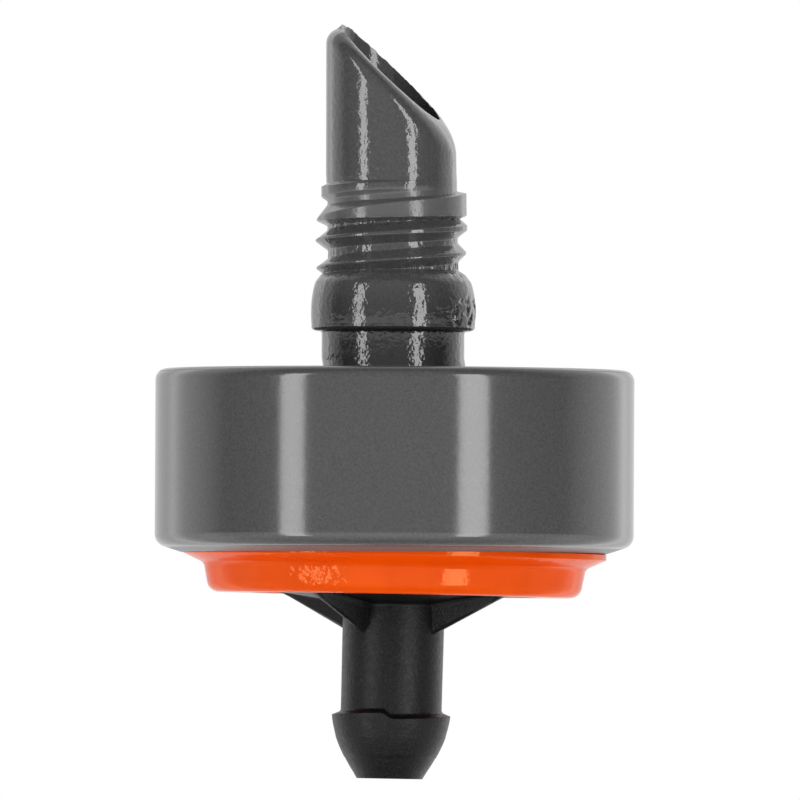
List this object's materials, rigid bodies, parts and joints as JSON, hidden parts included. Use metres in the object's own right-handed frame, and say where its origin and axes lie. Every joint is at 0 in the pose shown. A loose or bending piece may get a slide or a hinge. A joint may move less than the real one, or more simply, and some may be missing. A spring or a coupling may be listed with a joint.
{
  "type": "drip emitter",
  "caption": "Pressure-compensating drip emitter: a screw-in inlet spike on a flat round cup, closed below by a snap ring and an outlet with a tube barb.",
  "frame": {"origin": "on the emitter's axis, in the plane of the cup's flat top face, which seats against the supply pipe", "axes": "+Z along the inlet screw towards its pointed nose; +X towards the side that the nose's slanted mouth faces"},
  "size_m": [0.02, 0.02, 0.0315],
  "materials": {
    "housing_plastic": "mid-grey moulded polypropylene, glossy with fine scuffs",
    "strainer_plastic": "natural moulded plastic",
    "silicone": "smooth translucent grey silicone",
    "labyrinth_plastic": "natural moulded plastic",
    "seal_rubber": "black rubber",
    "outlet_plastic": "black moulded plastic, semi-matte",
    "ring_plastic": "saturated orange moulded plastic, glossy"
  },
  "bodies": {
    "housing": {"inlet_housing": "housing_plastic", "inlet_strainer": "strainer_plastic", "labyrinth_disc": "labyrinth_plastic", "body_seal": "seal_rubber", "outlet_fitting": "outlet_plastic", "snap_ring": "ring_plastic"},
    "diaphragm": {"diaphragm": "silicone"}
  },
  "joints": [
    {"name": "diaphragm_float", "type": "slide", "parent": "housing", "child": "diaphragm", "axis": [0, 0, 1], "range_m": [0, 0.0004]}
  ]
}
